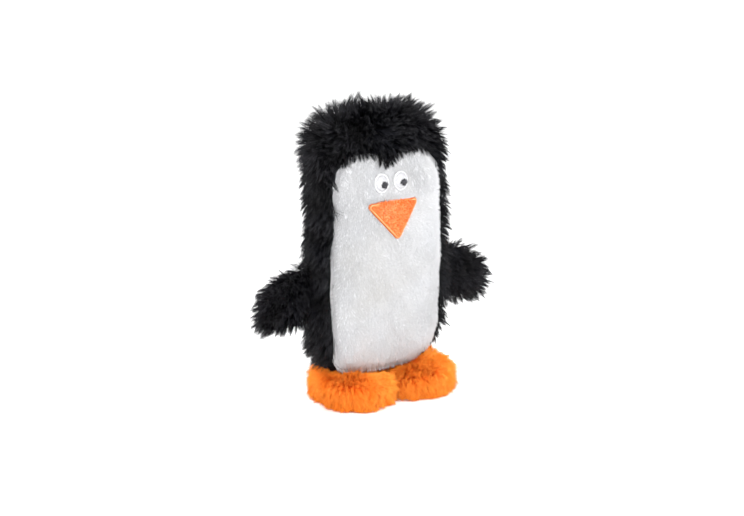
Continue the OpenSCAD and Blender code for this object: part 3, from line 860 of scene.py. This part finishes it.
def inside(loop, x, z, grow=0.0):
    """Whether points are inside a convex anticlockwise loop grown by `grow`."""
    ahead = np.roll(loop, -1, 0)
    t = unit(ahead - loop)
    gap = t[:, 0] * (z[:, None] - loop[:, 1]) - t[:, 1] * (x[:, None] - loop[:, 0])
    return (gap > -grow).all(1)


beak_loop = evenly(hull(node_points("beak")[:, [0, 2]]), 0.48)
beak_mid = beak_loop.mean(0)
EYES = {}
for side in ("right", "left"):
    low, high = box_mm("eye_white_" + side)
    pupil_low, pupil_high = box_mm("pupil_" + side)
    EYES[side] = ((low + high) / 2, (high - low) / 2, (pupil_low + pupil_high) / 2,
                  (pupil_high - pupil_low) / 2)


def parted(p, way):
    """The plush parts round the eyes and beak: which strands stay, and how the near ones lean away."""
    x, z = p[:, 0], p[:, 2]
    keep = ~inside(beak_loop, x, z, -0.9)
    for mid, half, _, _ in EYES.values():
        dx, dz = x - mid[0], z - mid[2]
        r = np.sqrt((dx / (half[0] - 0.5)) ** 2 + (dz / (half[2] - 0.5)) ** 2)
        keep &= r > 1
        near = 0.8 * np.exp(-(np.maximum(r - 1, 0) / 0.2) ** 2)[:, None]
        way = way * (1 - near) + np.stack([dx, dx * 0, dz], 1) / 6 * near
    near = (inside(beak_loop, x, z, 1.4) * 0.8)[:, None]
    out = np.stack([x - beak_mid[0], x * 0, z - beak_mid[1]], 1)
    way = way * (1 - near) + unit(out) * near
    return keep, way


rng = np.random.default_rng(42)
WHITE_PARTS = {"belly": (0, 72), "chest": (72, 118), "face": (118, 260)}
for part, (low, high) in WHITE_PARTS.items():
    faces = region_faces("front", lambda m, a=low, b=high: (m[:, 2] > a) & (m[:, 2] <= b))
    count = min(SHORT_LIMIT, int(torso.area(faces) * 4.6))
    p, n = sown(torso, faces, count, rng)
    edge = np.exp(-(seam_distance(p) / 5) ** 2)
    out = np.stack([p[:, 0] / PANEL_HALF, p[:, 0] * 0, (p[:, 2] - PANEL_MID) / 76], 1)
    way = toward((0, 0, -0.9), count) + swirl(p, 44, 61) * 0.4
    way = way + unit(out) * edge[:, None] * 0.7 + rng.normal(size=(count, 3)) * 0.16
    angle = 47 + waves(p, 26, 63) * 5 + rng.normal(size=count) * 5
    keep, way = parted(p, way)
    hem = ease((BOTTOM + 6 - p[:, 2]) / 5)
    angle = angle + 14 * hem
    length = 3.6 + waves(p, 12, 64) * 0.2 + rng.normal(size=count) * 0.2 + 1.4 * hem
    tone = 0.5 + 0.2 * waves(p, 24, 65) + rng.normal(size=count) * 0.08
    warm = np.exp(-((p[:, 0] + 12) / 22) ** 2 - ((p[:, 2] - 88) / 30) ** 2)
    hue = 0.42 + 0.4 * warm + 0.1 * waves(p, 25, 67) + rng.normal(size=count) * 0.08
    pile(f"front_panel_pile_{part}", p[keep], n[keep], way[keep], np.clip(angle, 8, 84)[keep],
         length[keep], rng.uniform(0.26, 0.38, count)[keep], 9, 0.08, WHITE_PILE, "torso", rng, rings=2,
         tone=tone[keep], hue=hue[keep], spread=0.4, ragged=0.02, strays=0.01, nap=0.62)


# ---- stitched pieces of the face
def threads(name, paths, radius, profile=(0.55, 0.95, 1.0, 0.95, 0.55), sides=6, up=(0, -1, 0)):
    """Many threads in one piece: each follows its points, rounded in section and thinner at its ends."""
    paths = np.asarray(paths, float)
    count, steps, _ = paths.shape
    way = unit(np.gradient(paths, axis=1))
    b1 = unit(np.cross(way, np.array(up, float)))
    b2 = np.cross(b1, way)
    profile = np.interp(np.linspace(0, 1, steps), np.linspace(0, 1, len(profile)), profile)
    t = round_turn(sides)[None, None, :, None]
    ring = b1[:, :, None] * np.cos(t) + b2[:, :, None] * np.sin(t)
    verts = paths[:, :, None] + ring * (radius * profile)[None, :, None, None]
    per = steps * sides
    faces = []
    for i in range(count):
        base = i * per
        for r in range(steps - 1):
            for k in range(sides):
                a, b = base + r * sides + k, base + r * sides + (k + 1) % sides
                faces.append((a, b, b + sides, a + sides))
        faces.append([base + k for k in range(sides)][::-1])
        faces.append([base + per - sides + k for k in range(sides)])
    return mesh_object(name, verts.reshape(-1, 3), faces)


def arched(a, b, rise, steps=7):
    """Paths from a to b that bow towards the viewer."""
    t = np.linspace(0, 1, steps)[None, :, None]
    path = a[:, None] * (1 - t) + b[:, None] * t
    path[:, :, 1] -= (np.asarray(rise).reshape(-1, 1) * np.sin(np.pi * t[0, :, 0])[None])
    return path


def on_face(q, lift):
    """Places (x, z) on the face, lifted off its cloth."""
    return np.stack([q[:, 0], face_y(q[:, 0], q[:, 1]) - lift, q[:, 1]], 1)


def oval(middle, half, a):
    return np.stack([middle[0] + half[0] * np.cos(a), middle[1] + half[1] * np.sin(a)], 1)


def puffed_disc(name, loop, lift, height, power=2.2, back=0.8):
    """A thin padded shape on the face: crowned in front, flat behind, inside a closed loop."""
    middle = loop.mean(0)
    rings = []
    for share in (0.35, 0.7, 0.9):
        q = middle + (loop - middle) * share
        rings.append(on_face(q, lift - back))
    for share in (1.0, 0.97, 0.9, 0.78, 0.6, 0.4, 0.2):
        q = middle + (loop - middle) * share
        rings.append(on_face(q, lift + height * float(dome(np.array(share), power))))
    first = on_face(middle[None], lift - back)[0]
    last = on_face(middle[None], lift + height)[0]
    form = Form(rings, first, last)
    return mesh_object(name, form.points, form.faces), form


EYE_LIFT, EYE_PUFF, EYE_RIM = 1.3, 0.9, 1.5
FILL_SLANT, FILL_PITCH = math.radians(78), 0.43
KNOT_LAYERS = ((0.25, 0.5, 1.0), (1.35, 0.62, 0.8), (2.5, 0.7, 0.62))   # each: turn, pitch, size


def eye_fill(name, mid, half, rng):
    """The slanted satin threads of an eye: each runs from edge to edge of the oval inside its rim."""
    across = np.array([-math.sin(FILL_SLANT), math.cos(FILL_SLANT)])
    along = np.array([math.cos(FILL_SLANT), math.sin(FILL_SLANT)])
    starts, ends = [], []
    reach = float(max(half)) - EYE_RIM
    rx, rz = half[0] - EYE_RIM + 0.3, half[1] - EYE_RIM + 0.3
    for off in np.arange(-reach, reach, FILL_PITCH):
        c = across * off
        qa = (along[0] / rx) ** 2 + (along[1] / rz) ** 2
        qb = 2 * (c[0] * along[0] / rx ** 2 + c[1] * along[1] / rz ** 2)
        qc = (c[0] / rx) ** 2 + (c[1] / rz) ** 2 - 1
        if qb * qb - 4 * qa * qc > 0:
            root = math.sqrt(qb * qb - 4 * qa * qc)
            starts.append(c + along * ((-qb - root) / (2 * qa)))
            ends.append(c + along * ((-qb + root) / (2 * qa)))
    starts, ends = np.array(starts) + mid, np.array(ends) + mid
    t = np.linspace(0, 1, 9)[None, :, None]
    line = starts[:, None] * (1 - t) + ends[:, None] * t + rng.normal(size=(len(starts), 1, 2)) * 0.04
    flat = line.reshape(-1, 2)
    r = np.sqrt(((flat[:, 0] - mid[0]) / half[0]) ** 2 + ((flat[:, 1] - mid[1]) / half[1]) ** 2)
    pts = on_face(flat, EYE_LIFT + EYE_PUFF * dome(r, 2.2) + rng.normal(size=len(flat)) * 0.03)
    return threads(name, pts.reshape(len(starts), 9, 3), 0.22)


def pupil_knot(name, pupil, size_of, rng):
    """A raised knot: three crossing layers of thread and a few loose ends."""
    starts, ends = [], []
    top = EYE_LIFT + EYE_PUFF + 0.25
    for layer, (turn, gap, size) in enumerate(KNOT_LAYERS):
        along = np.array([math.cos(turn), math.sin(turn)])
        across = np.array([-along[1], along[0]])
        radius = size_of * size * 1.1
        for off in np.arange(-radius + gap / 2, radius, gap):
            reach = math.sqrt(max(0, radius ** 2 - off ** 2)) * rng.uniform(0.62, 1.35)
            for end, store in ((-reach, starts), (reach, ends)):
                q = pupil + across * off + along * end
                store.append(on_face(q[None], top + 0.3 * layer)[0])
    for turn in rng.uniform(0, 2 * math.pi, 9):
        along = np.array([math.cos(turn), math.sin(turn)])
        for share, store in ((0.2, starts), (rng.uniform(1.2, 1.6), ends)):
            store.append(on_face((pupil + along * share * size_of)[None], top + 0.1)[0])
    rise = rng.uniform(0.35, 0.6, len(starts))
    return threads(name, arched(np.array(starts), np.array(ends), rise), 0.32)


rng = np.random.default_rng(43)
for side, (mid, half, pupil, pupil_half) in EYES.items():
    mid, half, name = mid[[0, 2]], half[[0, 2]], "eye_white_" + side
    pad, _ = puffed_disc(name + "_pad", oval(mid, half, round_turn(96)), EYE_LIFT, EYE_PUFF - 0.2)
    dressed(pad, WHITE_THREAD, "torso", "white_thread", name)
    dressed(eye_fill(name + "_fill", mid, half, rng), WHITE_THREAD, "torso", "white_thread")
    a = round_turn(92)
    outer = on_face(oval(mid, half + 0.1, a), EYE_LIFT - 0.2)
    inner = on_face(oval(mid, half - EYE_RIM, a + 0.12), EYE_LIFT + EYE_PUFF * 0.62)
    rim = threads(name + "_rim", arched(outer, inner, rng.uniform(0.3, 0.4, len(a))), 0.25)
    dressed(rim, WHITE_THREAD, "torso", "white_thread")
    # The grey thread ring lies in the groove between the rim and the fill; its grey is painted shade of that
    # groove.
    line = on_face(oval(mid, half - EYE_RIM - 0.1, np.linspace(0, 2 * math.pi, 25)),
                   EYE_LIFT + EYE_PUFF * 0.9)
    groove = np.stack([line[:-1] * (1 - k / 3) + line[1:] * k / 3 for k in range(4)], 1)
    dressed(threads(name + "_outline", groove, 0.13), GREY_THREAD, "torso", "white_thread")
    knot = pupil_knot(f"pupil_{side}_knot", pupil[[0, 2]], float(pupil_half[0]), rng)
    dressed(knot, BLACK_THREAD, "torso", "black_thread", "pupil_" + side)

BEAK_LIFT, BEAK_PUFF, BORDER = 1.2, 1.3, 2.2
beak_pad, beak_form = puffed_disc("beak_cloth", inset(beak_loop, 0.5), BEAK_LIFT, BEAK_PUFF, 3.0)
dressed(beak_pad, ORANGE_CLOTH, "torso", "beak_plush", "beak")
top_z = beak_loop[:, 1].max()
top_edge = ease((beak_loop[:, 1] - top_z + 1.6) / 1.2) * (np.abs(beak_loop[:, 0] - beak_mid[0]) < 11.5)
outer = on_face(beak_loop, BEAK_LIFT - 0.1)
inner = on_face(inset(beak_loop, BORDER), BEAK_LIFT + 1.15)
keep = top_edge < 0.5
border = threads("beak_border", arched(outer, inner, 0.75 + 0.08 * rng.normal(size=len(outer)))[keep], 0.27)
dressed(border, AMBER, "torso", "peach_thread", "beak_stitching")
line = on_face(inset(beak_loop, 1.15), BEAK_LIFT + 1.5)
ok = keep & np.roll(keep, -4)
line_paths = np.stack([np.roll(line, -k, 0) for k in (0, 1, 2, 3, 4)], 1)[::2][ok[::2]]
chain = threads("beak_running_thread", line_paths, 0.36)
dressed(chain, PEACH, "torso", "peach_thread")

count = 5200
p, n = sown(beak_form, beak_form.ring_of >= 3, count, rng)
way = toward((0.9, 0, -0.5), count) + swirl(p, 7, 81) * 0.8 + rng.normal(size=(count, 3)) * 0.4
inner_part = inside(beak_loop, p[:, 0], p[:, 2], 0.5 - BORDER)
at_top = (p[:, 2] > top_z - 2.4) & (np.abs(p[:, 0] - beak_mid[0]) < 13)
way[at_top] = way[at_top] * 0.3 + np.array([0, -0.2, 1.0])
angle = 52 + rng.normal(size=count) * 10
length = np.where(at_top, 1.9, 2.1) + rng.normal(size=count) * 0.3
keep = inner_part | at_top
tone = 0.5 + 0.25 * waves(p, 4, 83) + rng.normal(size=count) * 0.16
pile("beak_pile", p[keep], n[keep], way[keep], np.clip(angle, 30, 84)[keep], length[keep],
     rng.uniform(0.28, 0.42, count)[keep], 9, 0.75, BEAK_PILE, "torso", rng, rings=2, spread=0.15,
     ragged=0.3, tone=tone[keep])


# ---- flippers
for side, sign in (("left", 1), ("right", -1)):
    rng = np.random.default_rng(50 + sign)
    form = flipper_form(sign)

    def seam(q, root_x=sign * HINGE_X):
        edge = np.exp(-((q[:, 1] - MID_Y) / 1.6) ** 2) * 0.9
        return np.clip(np.maximum(edge, ease((5 - np.abs(q[:, 0] - root_x)) / 4)), 0, 1)

    fill, base, moved = stuffed(f"flipper_{side}_fibrefill", form, 4.0, 2.5, 1.5, seam)
    dressed(fill, FIBRE, "flipper_" + side, "fibrefill", f"flipper_{side}_stuffing")
    rest = form.points.copy()
    tuck = np.exp(-((rest[:, 1] - MID_Y) / 1.2) ** 2)
    settle(form, base, moved, tuck, 0.7, 0.35, 21 + sign)
    mids = form.middles(rest)
    for half, keep in (("front", mids[:, 1] < MID_Y), ("back", mids[:, 1] >= MID_Y)):
        cloth = dressed(cut(form, keep, f"flipper_{side}_{half}_cloth", 0.6), BLACK_CLOTH,
                        "flipper_" + side, "black_pile", f"flipper_{side}_{half}")
        count = 5600
        p, n = sown(form, keep, count, rng)
        x, _, z = p.T
        out = (np.abs(x) - HINGE_X) / FLIP_L
        up = (z - (FLIPPER_Z - FLIP_DROP * np.clip(out, 0, 1))) / FLIP_HALF_H
        way = np.stack([sign * (0.35 + 0.75 * ease(out)), np.full(count, -0.05), 0.55 * up - 0.65], 1)
        way = way + swirl(p, 15, 91 + sign) * 0.4 + rng.normal(size=(count, 3)) * 0.18
        angle = 50 + waves(p, 12, 95) * 9 + rng.normal(size=count) * 5
        length = 10.2 + waves(p, 8, 96) * 0.9 + rng.normal(size=count) * 0.6 - 2.0 * ease((0.12 - out) / 0.2)
        pile(f"flipper_{side}_{half}_pile", p, n, way, np.clip(angle, 8, 84), np.clip(length, 4, 13),
             rng.uniform(0.18, 0.32, count), 15, 0.8, BLACK_PILE, "flipper_" + side, rng, curl=0.2,
             ragged=0.28, strays=0.16)


# ---- feet
def at_floor(q):
    return ease((5 - q[:, 2]) / 4)


def hidden_share(m):
    """Few strands are sown where the belly hides the top of a foot."""
    hidden = (m[:, 1] > -12) & (m[:, 1] < 22) & (np.abs(m[:, 0]) < 34) & (m[:, 2] > 9)
    return np.where(hidden, 0.25, 1.0)


for side, sign in (("left", 1), ("right", -1)):
    rng = np.random.default_rng(60 + sign)
    form = foot_form(sign)
    fill, base, moved = stuffed(f"foot_{side}_fibrefill", form, 4.0, 2.5, 1.6, at_floor)
    dressed(fill, FIBRE, "foot_" + side, "fibrefill", f"foot_{side}_stuffing")
    rest = form.points.copy()
    settle(form, base, moved, np.exp(-((rest[:, 2] - SOLE_T) / 1.2) ** 2), 0.6, 0.5, 31 + sign)
    form.points[:, 2] = np.maximum(form.points[:, 2], 0.8)
    mids = form.middles(rest)
    sole = (mids[:, 2] < SOLE_T - 0.2) & (form.ring_of < 3)
    for part, keep in (("sole", sole), ("upper", ~sole)):
        cloth = dressed(cut(form, keep, f"foot_{side}_{part}_cloth", 0.6), ORANGE_CLOTH, "foot_" + side,
                        "orange_pile", f"foot_{side}_{part}")
    middle = np.array([sign * FOOT_X, FOOT_Y + 6, 8])
    in_toes = mids[:, 1] < FOOT_Y - 6
    for part, keep, count in (("toes", ~sole & in_toes, 13000), ("heel", ~sole & ~in_toes, 11500)):
        p, n = sown(form, keep, count, rng, hidden_share)
        away = unit((p - middle) * [1, 1, 0.2])
        way = away + np.array([0, 0, -0.55]) + swirl(p, 16, 97 + sign) * 0.3
        way = way + rng.normal(size=(count, 3)) * 0.1
        x, y, z = p.T
        angle = 54 + waves(p, 15, 98) * 4 + rng.normal(size=count) * 6 + 8 * ease((z - 7) / 8)
        length = 11 + waves(p, 8, 99) * 0.8 + rng.normal(size=count) * 0.6
        under = (y > -12) & (y < 24) & (np.abs(x) < 26) & (z > 8)
        length = np.where(under, 6.5, length)
        inner_side = ease((8 - np.abs(x)) / 5) * ease((13 - z) / 4)
        bib = ease((-y - 10) / 4) * ease((z - 11) / 3) * ease((y + 24) / 6)
        bib = bib * ease((np.abs(x) - 10) / 9)
        angle = angle - 18 * inner_side - 14 * bib
        length = length + 0.8 * bib - 1.2 * ease((14 - np.abs(x)) / 8) * ease((z - 11) / 3)
        length = np.where(z < 4, length * 0.75, length)
        # Painted shade: the foot pile's tone is made darker in its lowest 7 mm, towards the floor.
        deep = ease((7 - z) / 6) * 0.35
        tone = 0.55 - deep + 0.25 * waves(p, 11, 801) + rng.normal(size=count) * 0.2
        pile(f"foot_{side}_pile_{part}", p, n, way, np.clip(angle, 8, 84), np.clip(length, 2.5, 12.5),
             rng.uniform(0.22, 0.34, count), 15, 0.4, ORANGE_PILE, "foot_" + side, rng, curl=0.35,
             tone=tone, ragged=0.12, strays=0.12, spread=0.2, nap=0.3)
    count = 2200
    p, n = sown(form, sole, count, rng)
    pile(f"foot_{side}_pile_sole", p, n, swirl(p, 12, 88), np.full(count, 80.0), np.full(count, 2.6),
         rng.uniform(0.3, 0.4, count), 12, 0.3, ORANGE_PILE, "foot_" + side, rng, rings=2)


# ---- care label
label_low, label_high = box_mm("care_label")
LABEL_W = label_high[0] - label_low[0]
LABEL_DROP = label_high[2] - label_low[2]
steps, wide = 30, 16
half_len = LABEL_DROP - 0.8
rows = []
for i in range(steps + 1):
    t = i / steps
    if t < 0.47:
        z, gap = label_high[2] - half_len * t / 0.47, 0.75
    elif t > 0.53:
        z, gap = label_high[2] - half_len * (1 - t) / 0.47, -0.35
    else:
        turn = (t - 0.5) / 0.06 * math.pi
        z, gap = label_high[2] - half_len - 0.6 * math.cos(turn), 0.2 - 0.55 * math.sin(turn)
    lean = (label_high[2] - z) / LABEL_DROP
    for k in range(wide + 1):
        u = k / wide
        wave = 0.35 * lean * math.sin(u * 5.2 + 0.6) + 0.2 * math.sin(u * 9 + lean * 3) * lean
        rows.append((label_low[0] + LABEL_W * u, label_low[1] + 1.2 + 1.9 * lean + gap + wave, z))
faces = [(i * (wide + 1) + k, i * (wide + 1) + k + 1, (i + 1) * (wide + 1) + k + 1, (i + 1) * (wide + 1) + k)
         for i in range(steps) for k in range(wide)]
label = mesh_object("care_label_satin", rows, faces)
dressed(label, SATIN, "torso", "label_satin", "care_label")
x = np.arange(label_low[0] + 1, label_high[0] - 1, 1.6)
a = np.stack([x, np.full(len(x), label_low[1] + 2.5), np.full(len(x), label_high[2] - 1.4)], 1)
b = a + [1.1, 0, 0]
hem = threads("care_label_stitches", arched(a, b, -0.25 * np.ones(len(a)), 5), 0.18, up=(0, 1, 0))
dressed(hem, WHITE_THREAD, "torso", "white_thread")


# ---- studio
# each light: name, azimuth, elevation, distance, size and power
LIGHTS = (("key", 48, 38, 1.2, 0.3, 12.5), ("top", -150, 60, 1.2, 0.4, 7.0),
          ("left", -112, 32, 1.2, 0.22, 9.0), ("low", -20, 8, 1.3, 0.6, 7.5))


def studio():
    shader = Shader("studio_floor")
    grain = shader.texture("TexNoise", Scale=3).outputs["Fac"]
    pale = shader.ramp(grain, [(0.3, (0.93, 0.93, 0.93)), (0.7, (0.95, 0.95, 0.95))])
    floor_material = shader.finished(pale, Roughness=0.7)
    reach, curve = 2600.0, 500.0
    profile = [(-reach, 0), (reach - curve, 0)]
    profile += [(reach - curve + curve * math.sin(t), curve - curve * math.cos(t))
                for t in np.linspace(0.15, math.pi / 2, 10)]
    profile += [(reach, 2600)]
    pts = [(x, y, z) for x in (-reach, reach) for y, z in profile]
    n = len(profile)
    faces = [(i, i + 1, n + i + 1, n + i) for i in range(n - 1)]
    floor = mesh_object("studio_floor", pts, faces)
    floor.data.materials.append(floor_material)
    floor.rotation_euler = (0, 0, math.radians(30))
    floor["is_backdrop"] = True
    world = bpy.data.worlds.new("studio")
    bpy.context.scene.world = world
    world.use_nodes = True
    world.node_tree.nodes["Background"].inputs[0].default_value = (1, 1, 1, 1)
    world.node_tree.nodes["Background"].inputs[1].default_value = 0.98

    def aimed(name, data, target, azimuth, elevation, distance):
        o = placed(name, data)
        back = from_angles(azimuth, elevation)
        o.location = target + back * distance
        o.rotation_euler = (-back).to_track_quat("-Z", "Y").to_euler()
        return o

    middle = Vector((CAD_LOW + CAD_HIGH) / 2)
    for name, azimuth, elevation, distance, size, power in LIGHTS:
        light = bpy.data.lights.new(name, "AREA")
        light.shape, light.size, light.energy = "DISK", size, power
        aimed(name, light, middle, azimuth, elevation, distance)
    camera = bpy.data.cameras.new("camera")
    camera.lens, camera.sensor_width = 100, 36
    camera.clip_start, camera.clip_end = 0.05, 30
    bpy.context.scene.camera = aimed("camera", camera, Vector((-0.0043, 0.0025, 0.098)), -30, 17, 1.45)
    scene = bpy.context.scene
    scene.view_settings.view_transform = "Standard"
    scene.view_settings.look = "None"
    scene.view_settings.exposure = 0.0


studio()
low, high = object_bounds()
